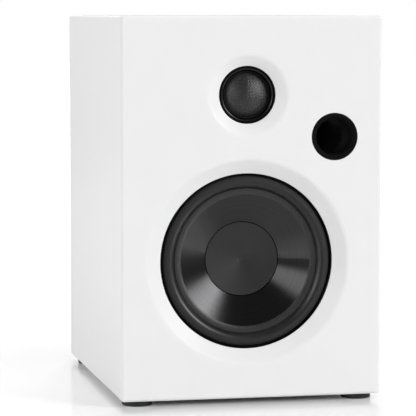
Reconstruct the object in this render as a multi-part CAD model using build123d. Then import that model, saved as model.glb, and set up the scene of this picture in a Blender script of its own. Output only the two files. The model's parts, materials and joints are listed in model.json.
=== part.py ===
"""Two-way bookshelf loudspeaker with a front reflex port, as the separate pieces it comes apart into.

Millimetres. +Z is up, the front faces -Y, and +X is to the right seen from the front.
The origin is on the floor under the middle of the cabinet.
A round piece is drawn as (radius, depth), where depth is measured back from the front face.
"""

import math
import os

from build123d import *

# Cabinet
CABINET_WIDTH = 223.0
CABINET_HEIGHT = 320.0
CABINET_DEPTH = 278.0
EDGE_RADIUS = 3.0
WALL = 15.0
BAFFLE_THICKNESS = 22.0
BACK_THICKNESS = 12.0
BACK_RECESS = 5.0
BACK_LEDGE = 7.0
BACK_SCREW_SHANK = 1.6
PANEL_GAP = 0.2
PAD_THICKNESS = 18.0

# Feet
FOOT_HEIGHT = 5.0
FOOT_RADIUS = 12.75
FOOT_FROM_SIDE = 16.6
FOOT_FROM_FRONT = 19.5
FOOT_FROM_REAR = 23.0
FOOT_SCREW_SHANK = 1.9
FOOT_SCREW_LENGTH = 13.0
FOOT_SCREW_SEAT = 2.0

# Driver axes: one for both drivers, a little left of the middle
DRIVER_X = -3.4
WOOFER_Z = FOOT_HEIGHT + 115.0
TWEETER_Z = FOOT_HEIGHT + 254.3

# Dishes round both drivers: a straight slope in degrees, with a rounded outer edge
DISH_SLOPE = 32.0
DISH_ROUNDING = 7.0

# Woofer
WOOFER_OPENING_RADIUS = 73.8
WOOFER_DISH_DEPTH = 7.5
WOOFER_SEAT = 11.5
WOOFER_FLANGE_RADIUS = 84.5
WOOFER_SCREW_CIRCLE = 80.0
WOOFER_SCREWS = 6
GASKET_THICKNESS = 1.0
ROLL_INNER_RADIUS = 61.25
ROLL_OUTER_RADIUS = 72.4
ROLL_HEIGHT = 4.85
ROLL_THICKNESS = 0.9
CONE_LIP_RADIUS = 61.5
CONE_RADIUS = 57.3
CONE_DEPTH = 12.15
CONE_SLOPE = 0.59
CONE_THICKNESS = 0.8
CAP_RADIUS = 31.1
CAP_DEPTH = 27.35
CAP_SINK = 3.0
FORMER_RADIUS = 12.75
SPIDER_DEPTH = 46.0
SPIDER_WAVES = 5
MOTOR_DEPTH = 58.0
WOOFER_FLANGE_THICKNESS = 3.5
WOOFER_SCREW_SHANK = 1.9
STRIP_RADIUS = 54.0
STRIP_THICKNESS = 1.5
STRIP_DEPTH = 53.0
TAB_X = 12.0
TAB_WIDTH = 4.8
TAB_LENGTH = 10.0
TAB_THICKNESS = 0.8

# Tweeter
TWEETER_OPENING_RADIUS = 24.2
TWEETER_DISH_DEPTH = 6.0
TWEETER_SEAT = 9.0
TWEETER_FLANGE_RADIUS = 37.5
TWEETER_SCREW_CIRCLE = 33.0
TWEETER_SCREWS = 4
TWEETER_MOUTH_RADIUS = 20.9
TWEETER_MOUTH_EDGE = 1.2
DOME_RADIUS = 17.8
DOME_HEIGHT = 7.4
DOME_DEPTH = 10.5
FABRIC_THICKNESS = 0.3
TWEETER_FLANGE_THICKNESS = 3.5
TWEETER_RIM = 10.3
TWEETER_RIM_RADIUS = 22.8
TWEETER_PLATE_THICKNESS = 3.0
TWEETER_PLATE_RADIUS = 27.5
TWEETER_MAGNET_THICKNESS = 9.0

# Reflex port
PORT_X = 70.4
PORT_Z = FOOT_HEIGHT + 219.0
PORT_MOUTH_RADIUS = 19.8
PORT_BORE_RADIUS = 15.0
PORT_WALL = 2.0
PORT_LENGTH = 130.0
PORT_STEP = 8.0

# Terminals: two binding posts at the usual spacing, each with a socket for a 4 mm plug
TERMINAL_Z = FOOT_HEIGHT + 95.0
POST_SPACING = 19.05
CUP_WIDTH = 76.0
CUP_HEIGHT = 54.0
CUP_DEPTH = 24.0
CUP_WALL = 2.0
CUP_PLATE_WIDTH = 104.0
CUP_PLATE_HEIGHT = 82.0
CUP_PLATE_THICKNESS = 3.0
CUP_CORNER = 6.0
POST_RADIUS = 2.97
SOCKET_RADIUS = 2.02
SOCKET_LENGTH = 12.0
WIRE_HOLE_RADIUS = 1.5
KNOB_RADIUS = 7.5
KNOB_BORE_RADIUS = 4.6
KNOB_LENGTH = 18.5
KNOB_FLUTES = 12
POST_CLEARANCE = 0.13
POST_COLLAR_RADIUS = 5.5
POST_COLLAR = 2.0
WASHER_THICKNESS = 1.2
CUP_FLOOR_THICKNESS = 3.0
NUT_THICKNESS = 4.0
POST_SIDES = {"red": 1, "black": -1}

# Crossover
BOARD_WIDTH = 110.0
BOARD_HEIGHT = 84.0
BOARD_THICKNESS = 1.6
BOARD_Z = FOOT_HEIGHT + 200.0
SPACER_LENGTH = 4.5
LEAD_DIAMETER = 2.4
TINSEL_DIAMETER = 1.2

# Small screws, of one size for the tweeter, the terminal cup and the board
SMALL_HEAD_RADIUS = 2.8
SMALL_HEAD_HEIGHT = 1.7
SMALL_SHANK = 1.4
SMALL_LENGTH = 9.5

# Places worked out from the sizes above
FRONT_Y = -CABINET_DEPTH / 2
REAR_Y = CABINET_DEPTH / 2
BOTTOM_Z = FOOT_HEIGHT
TOP_Z = FOOT_HEIGHT + CABINET_HEIGHT
MIDDLE_Z = (BOTTOM_Z + TOP_Z) / 2
HALF_WIDTH = CABINET_WIDTH / 2
BAFFLE_REAR_Y = FRONT_Y + BAFFLE_THICKNESS
BACK_REAR_Y = REAR_Y - BACK_RECESS
BACK_FRONT_Y = BACK_REAR_Y - BACK_THICKNESS
CUP_REAR_Y = BACK_REAR_Y + CUP_PLATE_THICKNESS
CUP_FLOOR_Y = CUP_REAR_Y - CUP_DEPTH
BOARD_REAR_Y = BACK_FRONT_Y - SPACER_LENGTH
BOARD_FRONT_Y = BOARD_REAR_Y - BOARD_THICKNESS
WOOFER_FLANGE_FRONT = WOOFER_SEAT + GASKET_THICKNESS
WOOFER_FLANGE_REAR = WOOFER_FLANGE_FRONT + WOOFER_FLANGE_THICKNESS
SURROUND_RIM = WOOFER_FLANGE_FRONT - 0.8
TWEETER_COIL_RADIUS = DOME_RADIUS - FABRIC_THICKNESS
TWEETER_FLANGE_REAR = TWEETER_SEAT + TWEETER_FLANGE_THICKNESS
TWEETER_MAGNET_FRONT = TWEETER_FLANGE_REAR + TWEETER_PLATE_THICKNESS
TWEETER_MAGNET_REAR = TWEETER_MAGNET_FRONT + TWEETER_MAGNET_THICKNESS
TWEETER_YOKE_REAR = TWEETER_MAGNET_REAR + TWEETER_PLATE_THICKNESS
COLLAR_REAR_Y = CUP_FLOOR_Y + POST_COLLAR
WASHER_FRONT_Y = COLLAR_REAR_Y + 0.05
KNOB_FRONT_Y = WASHER_FRONT_Y + WASHER_THICKNESS
POST_REAR_Y = KNOB_FRONT_Y + KNOB_LENGTH - 2.8
POST_FRONT_Y = CUP_FLOOR_Y - CUP_FLOOR_THICKNESS - NUT_THICKNESS - 6.0


def outline(points):
    """A flat face inside a closed run of straight lines."""
    return make_face(Polyline(*points, close=True))


def turned(points):
    """A round solid about Y from its (radius, depth) corners."""
    return revolve(outline(points), Axis.Y)


def ring(inner, outer, near, far):
    """A plain round ring between two radii and two depths."""
    return turned([(inner, near), (outer, near), (outer, far), (inner, far)])


def disc(radius, near, far):
    """A plain round disc or shaft between two depths."""
    return turned([(0, near), (radius, near), (radius, far), (0, far)])


def turned_strip(front, back):
    """A thin round shell about Y between two curves whose ends are joined by straight lines."""
    edges = [front, back, Line(front @ 0, back @ 0), Line(front @ 1, back @ 1)]
    return revolve(make_face(edges), Axis.Y)


def about_axis(shape, radius, count, first=0.0):
    """Copies of a shape set evenly round Y at a radius, starting from an angle in degrees."""
    copies = []
    for step in range(count):
        turn = first + step * 360 / count
        copies.append(Rot(0, turn, 0) * Pos(radius, 0, 0) * shape)
    return copies


def block(width, depth, height, corner=0.0):
    """A box centred on the origin whose edges along Y may be rounded."""
    solid = Box(width, depth, height)
    if corner:
        solid = fillet(solid.edges().filter_by(Axis.Y), corner)
    return solid


def screw(head_radius, head_height, shank_radius, length):
    """A pan-head screw along Y: its head's seat is at 0, its head to +Y and its shank to -Y."""
    tip = shank_radius * 0.8
    edge = head_height * 0.35
    body = turned(
        [
            (0, -length),
            (shank_radius * 0.3, -length),
            (shank_radius, -length + tip),
            (shank_radius, 0),
            (head_radius, 0),
            (head_radius, head_height - edge),
            (head_radius - edge, head_height),
            (0, head_height),
        ]
    )
    slot_length = head_radius * 1.2
    slot_width = head_radius * 0.26
    slot_depth = head_height * 0.55
    for width, height in ((slot_length, slot_width), (slot_width, slot_length)):
        body -= Pos(0, head_height - slot_depth / 2, 0) * Box(width, slot_depth, height)
    return body


def group(solids):
    """Several separate solids held as one node."""
    return Compound(children=list(solids))


def lead(points, diameter):
    """A round lead through points, with every bend as wide as its two runs allow."""
    places = [Vector(*point) for point in points]
    runs = [end - start for start, end in zip(places, places[1:])]
    radii = []
    for before, after in zip(runs, runs[1:]):
        turn = math.radians(before.get_angle(after))
        radii.append(0.45 * min(before.length, after.length) / math.tan(turn / 2))
    path = FilletPolyline(*places, radius=radii)
    section = Plane(origin=path @ 0, z_dir=path % 0) * Circle(diameter / 2)
    return sweep(section, path)


def woofer_place(shape):
    """Moves a round piece from the origin on to the woofer's axis."""
    return Pos(DRIVER_X, FRONT_Y, WOOFER_Z) * shape


def tweeter_place(shape):
    """Moves a round piece from the origin on to the tweeter's axis."""
    return Pos(DRIVER_X, FRONT_Y, TWEETER_Z) * shape


# Cabinet


def cabinet_outside():
    """The whole cabinet as one rounded block."""
    solid = Pos(0, 0, MIDDLE_Z) * Box(CABINET_WIDTH, CABINET_DEPTH, CABINET_HEIGHT)
    return fillet(solid.edges(), EDGE_RADIUS)


def slab(near, far):
    """A block wider and taller than the cabinet between two places along Y."""
    margin = 10.0
    solid = Box(CABINET_WIDTH + margin, far - near, CABINET_HEIGHT + margin)
    return Pos(0, (near + far) / 2, MIDDLE_Z) * solid


def sleeve():
    """The cabinet's four sides, open at the front and stepped at the rear for the back panel."""
    inner_width = CABINET_WIDTH - 2 * WALL
    inner_height = CABINET_HEIGHT - 2 * WALL
    cavity = Box(inner_width, BACK_FRONT_Y - BAFFLE_REAR_Y, inner_height)
    rebate_depth = REAR_Y - BACK_FRONT_Y
    rebate = Box(inner_width + 2 * BACK_LEDGE, rebate_depth, inner_height + 2 * BACK_LEDGE)
    solid = cabinet_outside() & slab(BAFFLE_REAR_Y, REAR_Y)
    solid -= Pos(0, (BAFFLE_REAR_Y + BACK_FRONT_Y) / 2, MIDDLE_Z) * cavity
    solid -= Pos(0, BACK_FRONT_Y + rebate_depth / 2, MIDDLE_Z) * rebate
    return solid


def mitred_panels():
    """The sleeve cut along its corners into a left, right, top and bottom panel."""
    reach = 2 * WALL
    inner_x = HALF_WIDTH - reach
    lower_left = (-HALF_WIDTH, BOTTOM_Z), (-inner_x, BOTTOM_Z + reach)
    lower_right = (HALF_WIDTH, BOTTOM_Z), (inner_x, BOTTOM_Z + reach)
    upper_left = (-HALF_WIDTH, TOP_Z), (-inner_x, TOP_Z - reach)
    upper_right = (HALF_WIDTH, TOP_Z), (inner_x, TOP_Z - reach)
    mitres = {
        "left_panel": (lower_left, upper_left),
        "right_panel": (lower_right, upper_right),
        "top_panel": (upper_left, upper_right),
        "bottom_panel": (lower_left, lower_right),
    }
    whole = sleeve()
    panels = {}
    for name, ((near_outer, near_inner), (far_outer, far_inner)) in mitres.items():
        corners = [near_outer, far_outer, far_inner, near_inner]
        wedge = extrude(Plane.XZ * outline(corners), CABINET_DEPTH, both=True)
        panels[name] = whole & wedge
    for hole in foot_screw_holes():
        panels["bottom_panel"] -= hole
    ledge_hole = disc(BACK_SCREW_SHANK + 0.05, -15.0, 0.0)
    for x, z in back_screw_places():
        side = "left_panel" if x < 0 else "right_panel"
        panels[side] -= Pos(x, BACK_FRONT_Y, z) * ledge_hole
    return panels


def foot_screw_holes():
    """The blind holes that the foot screws bite into, up from the cabinet's underside."""
    depth = FOOT_SCREW_LENGTH + FOOT_SCREW_SEAT - FOOT_HEIGHT + 0.5
    hole = Pos(0, 0, BOTTOM_Z + depth / 2) * Cylinder(FOOT_SCREW_SHANK + 0.05, depth)
    return [Pos(x, y, 0) * hole for x, y in foot_places().values()]


def driver_cut(opening_radius, dish_depth, seat, rebate_radius):
    """What a driver takes out of the baffle: a dish with a rounded edge, an opening and a rear rebate."""
    slope = math.radians(DISH_SLOPE)
    edge = DISH_ROUNDING * math.tan(slope / 2)
    corner = opening_radius + dish_depth / math.tan(slope)
    outer = (corner + edge, 0)
    middle = (outer[0] - DISH_ROUNDING * math.sin(slope / 2), DISH_ROUNDING * (1 - math.cos(slope / 2)))
    inner = (corner - edge * math.cos(slope), edge * math.sin(slope))
    edges = [
        ThreePointArc(outer, middle, inner),
        Polyline(
            inner, (opening_radius, dish_depth), (opening_radius, seat + 0.5), (0, seat + 0.5), (0, 0), outer
        ),
    ]
    return revolve(make_face(edges), Axis.Y) + disc(rebate_radius, seat, BAFFLE_THICKNESS)


def front_baffle():
    """The front panel with both driver dishes, the port hole and blind holes for the driver screws."""
    solid = cabinet_outside() & slab(FRONT_Y, BAFFLE_REAR_Y)
    solid -= woofer_place(
        driver_cut(
            WOOFER_OPENING_RADIUS,
            WOOFER_DISH_DEPTH,
            WOOFER_SEAT,
            WOOFER_FLANGE_RADIUS + 0.5,
        )
    )
    solid -= tweeter_place(
        driver_cut(
            TWEETER_OPENING_RADIUS,
            TWEETER_DISH_DEPTH,
            TWEETER_SEAT,
            TWEETER_FLANGE_RADIUS + 0.5,
        )
    )
    port_hole = disc(PORT_MOUTH_RADIUS + 0.15, 0, PORT_STEP + 0.2)
    port_hole += disc(PORT_BORE_RADIUS + PORT_WALL + 0.3, 0, BAFFLE_THICKNESS)
    solid -= Pos(PORT_X, FRONT_Y, PORT_Z) * port_hole
    woofer_hole = disc(WOOFER_SCREW_SHANK + 0.05, WOOFER_SEAT - 5.2, WOOFER_SEAT)
    for hole in about_axis(woofer_hole, WOOFER_SCREW_CIRCLE, WOOFER_SCREWS):
        solid -= woofer_place(hole)
    tweeter_hole = disc(SMALL_SHANK + 0.05, TWEETER_FLANGE_REAR - SMALL_LENGTH - 0.3, TWEETER_SEAT)
    for hole in about_axis(tweeter_hole, TWEETER_SCREW_CIRCLE, TWEETER_SCREWS, 45):
        solid -= tweeter_place(hole)
    for hole in foot_screw_holes():
        solid -= hole
    return solid


def back_screw_places():
    """Where the back panel's screws go: at the corners and the middle of each long side."""
    x = HALF_WIDTH - WALL + BACK_LEDGE / 2
    z_reach = CABINET_HEIGHT / 2 - WALL + BACK_LEDGE / 2
    places = []
    for side in (-1, 1):
        for level in (-0.9, -0.3, 0.3, 0.9):
            places.append((side * x, MIDDLE_Z + level * z_reach))
    return places


def back_panel():
    """The removable back, with the cut-out for the terminal cup."""
    margin = 2 * (WALL - BACK_LEDGE + PANEL_GAP)
    solid = block(CABINET_WIDTH - margin, BACK_THICKNESS, CABINET_HEIGHT - margin, 1.0)
    solid = Pos(0, BACK_FRONT_Y + BACK_THICKNESS / 2, MIDDLE_Z) * solid
    gap = 2 * (CUP_WALL + 0.5)
    cut = block(CUP_WIDTH + gap, BACK_THICKNESS * 2, CUP_HEIGHT + gap, CUP_CORNER + CUP_WALL)
    solid -= Pos(0, BACK_FRONT_Y, TERMINAL_Z) * cut
    panel_hole = disc(BACK_SCREW_SHANK + 0.2, 0, BACK_THICKNESS)
    for x, z in back_screw_places():
        solid -= Pos(x, BACK_FRONT_Y, z) * panel_hole
    bite = SMALL_LENGTH + 0.3 - CUP_PLATE_THICKNESS
    cup_hole = disc(SMALL_SHANK + 0.05, BACK_THICKNESS - bite, BACK_THICKNESS)
    for x, z in cup_screw_places():
        solid -= Pos(x, BACK_FRONT_Y, z) * cup_hole
    board_hole = disc(SMALL_SHANK + 0.05, 0, SMALL_LENGTH - BOARD_THICKNESS - SPACER_LENGTH + 0.3)
    for x, z in board_screw_places():
        solid -= Pos(x, BACK_FRONT_Y, z) * board_hole
    return solid


def back_screws():
    """The screws that hold the back panel on its ledge."""
    one = screw(3.2, 1.9, BACK_SCREW_SHANK, BACK_THICKNESS + 14.0)
    return group(Pos(x, BACK_REAR_Y, z) * one for x, z in back_screw_places())


def damping_pad(x_side, near, far):
    """A soft wadding pad on one side wall, between two places along Y."""
    height = CABINET_HEIGHT - 2 * WALL - 50.0
    inner = HALF_WIDTH - WALL
    pad = Box(PAD_THICKNESS, far - near, height)
    pad = fillet(pad.edges(), 6.0)
    return Pos(x_side * (inner - PAD_THICKNESS / 2), (near + far) / 2, MIDDLE_Z) * pad


def foot_places():
    """Where each foot's centre is, by node name."""
    x = HALF_WIDTH - FOOT_FROM_SIDE
    front = FRONT_Y + FOOT_FROM_FRONT
    rear = REAR_Y - FOOT_FROM_REAR
    return {
        "foot_front_left": (-x, front),
        "foot_front_right": (x, front),
        "foot_rear_left": (-x, rear),
        "foot_rear_right": (x, rear),
    }


def foot():
    """A rubber foot with a softened lower edge and a sunk screw hole."""
    soft = 0.6
    hole = FOOT_SCREW_SHANK + 0.3
    sink = 4.4
    corners = [
        (sink, 0),
        (FOOT_RADIUS - soft, 0),
        (FOOT_RADIUS, soft),
        (FOOT_RADIUS, FOOT_HEIGHT),
        (hole, FOOT_HEIGHT),
        (hole, FOOT_SCREW_SEAT),
        (sink, FOOT_SCREW_SEAT),
    ]
    return revolve(Plane.XZ * outline(corners), Axis.Z)


def foot_screws():
    """The screws that hold the feet, driven up from below."""
    one = Rot(-90, 0, 0) * screw(3.6, 1.5, FOOT_SCREW_SHANK, FOOT_SCREW_LENGTH)
    one = Pos(0, 0, FOOT_SCREW_SEAT) * one
    return group(Pos(x, y, 0) * one for x, y in foot_places().values())


# Woofer


def woofer_gasket():
    """The foam ring between the baffle and the basket."""
    solid = ring(WOOFER_OPENING_RADIUS + 1.2, WOOFER_FLANGE_RADIUS, WOOFER_SEAT, WOOFER_FLANGE_FRONT)
    clear = disc(WOOFER_SCREW_SHANK + 0.3, 0, WOOFER_FLANGE_REAR)
    for hole in about_axis(clear, WOOFER_SCREW_CIRCLE, WOOFER_SCREWS):
        solid -= hole
    return woofer_place(solid)


def woofer_basket():
    """The frame: flange, spokes, spider ledge and the seat for the motor, with six windows."""
    ledge = SPIDER_DEPTH
    solid = turned(
        [
            (69.0, WOOFER_FLANGE_FRONT),
            (WOOFER_FLANGE_RADIUS, WOOFER_FLANGE_FRONT),
            (WOOFER_FLANGE_RADIUS, WOOFER_FLANGE_REAR),
            (72.6, WOOFER_FLANGE_REAR),
            (52.6, ledge),
            (52.6, ledge + 2.5),
            (50.6, ledge + 2.5),
            (50.6, MOTOR_DEPTH),
            (20.0, MOTOR_DEPTH),
            (20.0, MOTOR_DEPTH - 2.0),
            (48.4, MOTOR_DEPTH - 2.0),
            (48.4, ledge + 2.5),
            (44.5, ledge + 2.5),
            (44.5, ledge),
            (50.4, ledge),
            (69.0, WOOFER_FLANGE_REAR + 1.0),
        ]
    )
    window_near = WOOFER_FLANGE_REAR + 4.0
    window_far = ledge - 3.0
    window = Pos(0, (window_near + window_far) / 2, 0) * Box(40.0, window_far - window_near, 42.0)
    for cut in about_axis(window, 62.0, 6):
        solid -= cut
    clear = disc(WOOFER_SCREW_SHANK + 0.3, 0, WOOFER_FLANGE_REAR)
    for hole in about_axis(clear, WOOFER_SCREW_CIRCLE, WOOFER_SCREWS):
        solid -= hole
    lug_height = 5.0
    solid += Pos(0, STRIP_DEPTH, STRIP_RADIUS - lug_height / 2) * Box(30.0, 8.0, lug_height)
    return woofer_place(solid)


def woofer_trim_ring():
    """The thin black ring that closes the gap between the dish and the surround."""
    inner = ROLL_OUTER_RADIUS + 0.25
    outer = WOOFER_OPENING_RADIUS - 0.15
    front = WOOFER_DISH_DEPTH + 0.1
    soft = 0.4
    corners = [
        (inner, front + soft),
        (inner + soft, front),
        (outer, front),
        (outer, SURROUND_RIM),
        (inner, SURROUND_RIM),
    ]
    return woofer_place(turned(corners))


def woofer_surround():
    """The rubber roll, with a flat rim on the basket and a flat lip on the cone."""
    base = CONE_DEPTH - 0.15
    crown = (ROLL_INNER_RADIUS + ROLL_OUTER_RADIUS) / 2
    lip_outer = ROLL_INNER_RADIUS + ROLL_THICKNESS
    rim_inner = ROLL_OUTER_RADIUS - ROLL_THICKNESS
    front = ThreePointArc((ROLL_INNER_RADIUS, base), (crown, base - ROLL_HEIGHT), (ROLL_OUTER_RADIUS, base))
    back = ThreePointArc((lip_outer, base), (crown, base - ROLL_HEIGHT + ROLL_THICKNESS), (rim_inner, base))
    roll = make_face([front, back, Line(front @ 0, back @ 0), Line(front @ 1, back @ 1)])
    rim_outer = WOOFER_OPENING_RADIUS + 0.6
    rim = outline(
        [
            (rim_inner, SURROUND_RIM),
            (rim_outer, SURROUND_RIM),
            (rim_outer, WOOFER_FLANGE_FRONT),
            (rim_inner, WOOFER_FLANGE_FRONT),
        ]
    )
    lip_inner = CONE_RADIUS + 0.3
    lip = outline(
        [
            (lip_inner, base - 0.75),
            (lip_outer, base - 0.75),
            (lip_outer, base + 0.1),
            (lip_inner, base + 0.1),
        ]
    )
    return woofer_place(revolve(roll + rim + lip, Axis.Y))


def cone_depth_at(radius):
    """Depth of the cone's front at a radius."""
    return CONE_DEPTH + (CONE_RADIUS - radius) * CONE_SLOPE


def woofer_cone():
    """The spun metal cone, from its flat lip down to the voice coil's neck."""
    neck = FORMER_RADIUS + 0.3
    through = CONE_THICKNESS * math.hypot(1, CONE_SLOPE)
    lip_rear = CONE_DEPTH + CONE_THICKNESS
    meet = CONE_RADIUS + (through - CONE_THICKNESS) / CONE_SLOPE
    corners = [
        (CONE_LIP_RADIUS, CONE_DEPTH),
        (CONE_RADIUS, CONE_DEPTH),
        (neck, cone_depth_at(neck)),
        (neck, cone_depth_at(neck) + through),
        (meet, lip_rear),
        (CONE_LIP_RADIUS, lip_rear),
    ]
    return woofer_place(turned(corners))


def woofer_dust_cap():
    """The shallow metal cap, sunk a little toward its middle."""
    sheet = 0.5
    corners = [
        (0, CAP_DEPTH + CAP_SINK),
        (CAP_RADIUS, CAP_DEPTH),
        (CAP_RADIUS - sheet, CAP_DEPTH + sheet),
        (0, CAP_DEPTH + CAP_SINK + sheet),
    ]
    return woofer_place(turned(corners))


def woofer_former():
    """The voice coil's paper-thin tube."""
    return woofer_place(ring(FORMER_RADIUS, FORMER_RADIUS + 0.25, 37.5, MOTOR_DEPTH + 9.0))


def woofer_winding():
    """The voice coil's winding, longer than the gap that it moves in."""
    inner = FORMER_RADIUS + 0.25
    return woofer_place(ring(inner, inner + 0.45, MOTOR_DEPTH - 3.5, MOTOR_DEPTH + 8.5))


def woofer_spider():
    """The pleated disc that centres the voice coil."""
    hub = FORMER_RADIUS + 0.35
    sheet = 0.5
    wave = 1.2
    first = 43.5
    last = 15.5
    middle = SPIDER_DEPTH - 0.9
    steps = 2 * SPIDER_WAVES
    crests = []
    for step in range(steps + 1):
        radius = first + (last - first) * step / steps
        height = 0 if step in (0, steps) else wave * (-1) ** step
        crests.append((radius, middle + height))
    front = [(50.2, SPIDER_DEPTH - sheet), (44.4, SPIDER_DEPTH - sheet)] + crests + [(hub, middle)]
    back = [(radius, depth + sheet) for radius, depth in reversed(front)]
    return woofer_place(turned(front + back))


def woofer_top_plate():
    """The steel ring on the front of the magnet."""
    return woofer_place(ring(FORMER_RADIUS + 1.1, 40.0, MOTOR_DEPTH, MOTOR_DEPTH + 5.0))


def woofer_magnet():
    """The ferrite ring magnet."""
    return woofer_place(ring(24.0, 45.0, MOTOR_DEPTH + 5.0, MOTOR_DEPTH + 20.0))


def woofer_back_plate():
    """The steel back plate in one piece with the vented pole."""
    vent = 5.0
    pole = FORMER_RADIUS - 0.35
    seat = MOTOR_DEPTH + 20.0
    rear = seat + 5.0
    rim = 42.0
    corners = [
        (vent, MOTOR_DEPTH),
        (pole, MOTOR_DEPTH),
        (pole, seat),
        (rim, seat),
        (rim, rear),
        (vent, rear),
    ]
    return woofer_place(turned(corners))


def woofer_terminal_strip():
    """The small board that carries the woofer's tabs, on a lug of the basket."""
    board = Box(34.0, 8.0, STRIP_THICKNESS)
    return woofer_place(Pos(0, STRIP_DEPTH, STRIP_RADIUS + STRIP_THICKNESS / 2) * board)


def woofer_tinsel_leads():
    """Two limp braided leads from the terminal strip to the back of the cone."""
    leads = []
    for side in (-1, 1):
        x = side * TAB_X
        points = [
            (x, STRIP_DEPTH - 4.2, STRIP_RADIUS + STRIP_THICKNESS / 2),
            (x, 42.5, 57.5),
            (x * 0.8, 39.0, 44.0),
            (x * 0.7, 33.6, 24.0),
        ]
        leads.append(woofer_place(lead(points, TINSEL_DIAMETER)))
    return group(leads)


def woofer_screws():
    """Six screws driven forward through the flange."""
    one = Pos(0, WOOFER_FLANGE_REAR, 0) * screw(3.6, 2.2, WOOFER_SCREW_SHANK, 9.4)
    return group(woofer_place(each) for each in about_axis(one, WOOFER_SCREW_CIRCLE, WOOFER_SCREWS))


# Tweeter


def tweeter_faceplate():
    """The black ring round the dome, with a rounded inner edge and a flange behind the baffle."""
    collar = TWEETER_OPENING_RADIUS - 0.15
    front = TWEETER_DISH_DEPTH + 0.3
    edge_outer = TWEETER_MOUTH_RADIUS + TWEETER_MOUTH_EDGE
    edge_rear = front + TWEETER_MOUTH_EDGE
    reach = TWEETER_MOUTH_EDGE * math.cos(math.radians(45))
    edge = ThreePointArc(
        (edge_outer, front), (edge_outer - reach, edge_rear - reach), (TWEETER_MOUTH_RADIUS, edge_rear)
    )
    pocket = TWEETER_RIM_RADIUS + 0.2
    rest = Polyline(
        (TWEETER_MOUTH_RADIUS, edge_rear),
        (TWEETER_MOUTH_RADIUS, TWEETER_RIM),
        (pocket, TWEETER_RIM),
        (pocket, TWEETER_FLANGE_REAR),
        (TWEETER_FLANGE_RADIUS, TWEETER_FLANGE_REAR),
        (TWEETER_FLANGE_RADIUS, TWEETER_SEAT),
        (collar, TWEETER_SEAT),
        (collar, front),
        (edge_outer, front),
    )
    solid = revolve(make_face([edge, rest]), Axis.Y)
    for hole in about_axis(disc(SMALL_SHANK + 0.2, 0, 20), TWEETER_SCREW_CIRCLE, TWEETER_SCREWS, 45):
        solid -= hole
    return tweeter_place(solid)


def dome_arc(radius, height, depth):
    """Half of a dome's outline, from its rim to its crown."""
    ball = (radius**2 + height**2) / (2 * height)
    angle = math.asin(radius / ball) / 2
    middle = (ball * math.sin(angle), depth - height + ball * (1 - math.cos(angle)))
    return ThreePointArc((radius, depth), middle, (0, depth - height))


def tweeter_dome():
    """The woven fabric dome."""
    front = dome_arc(DOME_RADIUS, DOME_HEIGHT, DOME_DEPTH)
    back = dome_arc(DOME_RADIUS - FABRIC_THICKNESS, DOME_HEIGHT - FABRIC_THICKNESS, DOME_DEPTH)
    return tweeter_place(turned_strip(front, back))


def tweeter_surround():
    """The dome's soft roll and the flat rim that is clamped under the faceplate."""
    roll_inner = DOME_RADIUS + 0.1
    roll_outer = TWEETER_MOUTH_RADIUS - 0.3
    height = 1.1
    rim = TWEETER_RIM_RADIUS
    near = TWEETER_RIM
    far = TWEETER_RIM + FABRIC_THICKNESS
    middle = (roll_inner + roll_outer) / 2
    front = ThreePointArc((roll_inner, near), (middle, near - height), (roll_outer, near))
    back_start = (roll_inner + FABRIC_THICKNESS, far)
    back_end = (roll_outer - FABRIC_THICKNESS, far)
    back = ThreePointArc(back_start, (middle, far - height), back_end)
    edges = [
        front,
        Polyline((roll_outer, near), (rim, near), (rim, far), back_end),
        back,
        Line(back_start, (roll_inner, near)),
    ]
    return tweeter_place(revolve(make_face(edges), Axis.Y))


def tweeter_former():
    """The tweeter's voice-coil tube."""
    inner = TWEETER_COIL_RADIUS
    return tweeter_place(ring(inner, inner + 0.15, DOME_DEPTH, TWEETER_MAGNET_FRONT + 1.0))


def tweeter_winding():
    """The tweeter's voice-coil winding."""
    inner = TWEETER_COIL_RADIUS + 0.15
    return tweeter_place(ring(inner, inner + 0.3, TWEETER_FLANGE_REAR + 0.3, TWEETER_MAGNET_FRONT + 0.3))


def tweeter_top_plate():
    """The steel ring in front of the tweeter's magnet, with a raised land that clamps the rim."""
    land = TWEETER_RIM + FABRIC_THICKNESS + 0.05
    land_inner = TWEETER_MOUTH_RADIUS - 0.2
    gap = TWEETER_COIL_RADIUS + 0.75
    return tweeter_place(
        turned(
            [
                (land_inner, land),
                (TWEETER_RIM_RADIUS, land),
                (TWEETER_RIM_RADIUS, TWEETER_FLANGE_REAR),
                (TWEETER_PLATE_RADIUS, TWEETER_FLANGE_REAR),
                (TWEETER_PLATE_RADIUS, TWEETER_MAGNET_FRONT),
                (gap, TWEETER_MAGNET_FRONT),
                (gap, TWEETER_FLANGE_REAR),
                (land_inner, TWEETER_FLANGE_REAR),
            ]
        )
    )


def tweeter_magnet():
    """The tweeter's ring magnet."""
    inner = TWEETER_COIL_RADIUS + 2.5
    outer = TWEETER_PLATE_RADIUS - 0.5
    return tweeter_place(ring(inner, outer, TWEETER_MAGNET_FRONT, TWEETER_MAGNET_REAR))


def tweeter_yoke():
    """The tweeter's back plate in one piece with its vented pole."""
    vent = 5.0
    pole = TWEETER_COIL_RADIUS - 0.3
    corners = [
        (vent, TWEETER_FLANGE_REAR),
        (pole, TWEETER_FLANGE_REAR),
        (pole, TWEETER_MAGNET_REAR),
        (TWEETER_PLATE_RADIUS, TWEETER_MAGNET_REAR),
        (TWEETER_PLATE_RADIUS, TWEETER_YOKE_REAR),
        (vent, TWEETER_YOKE_REAR),
    ]
    return tweeter_place(turned(corners))


def tweeter_rear_chamber():
    """The closed cup behind the tweeter that takes the air from the vent."""
    outer = 25.0
    wall = 2.0
    near = TWEETER_YOKE_REAR
    far = near + 18.0
    corners = [
        (outer - wall, near),
        (outer, near),
        (outer, far),
        (0, far),
        (0, far - wall),
        (outer - wall, far - wall),
    ]
    return tweeter_place(turned(corners))


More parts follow.
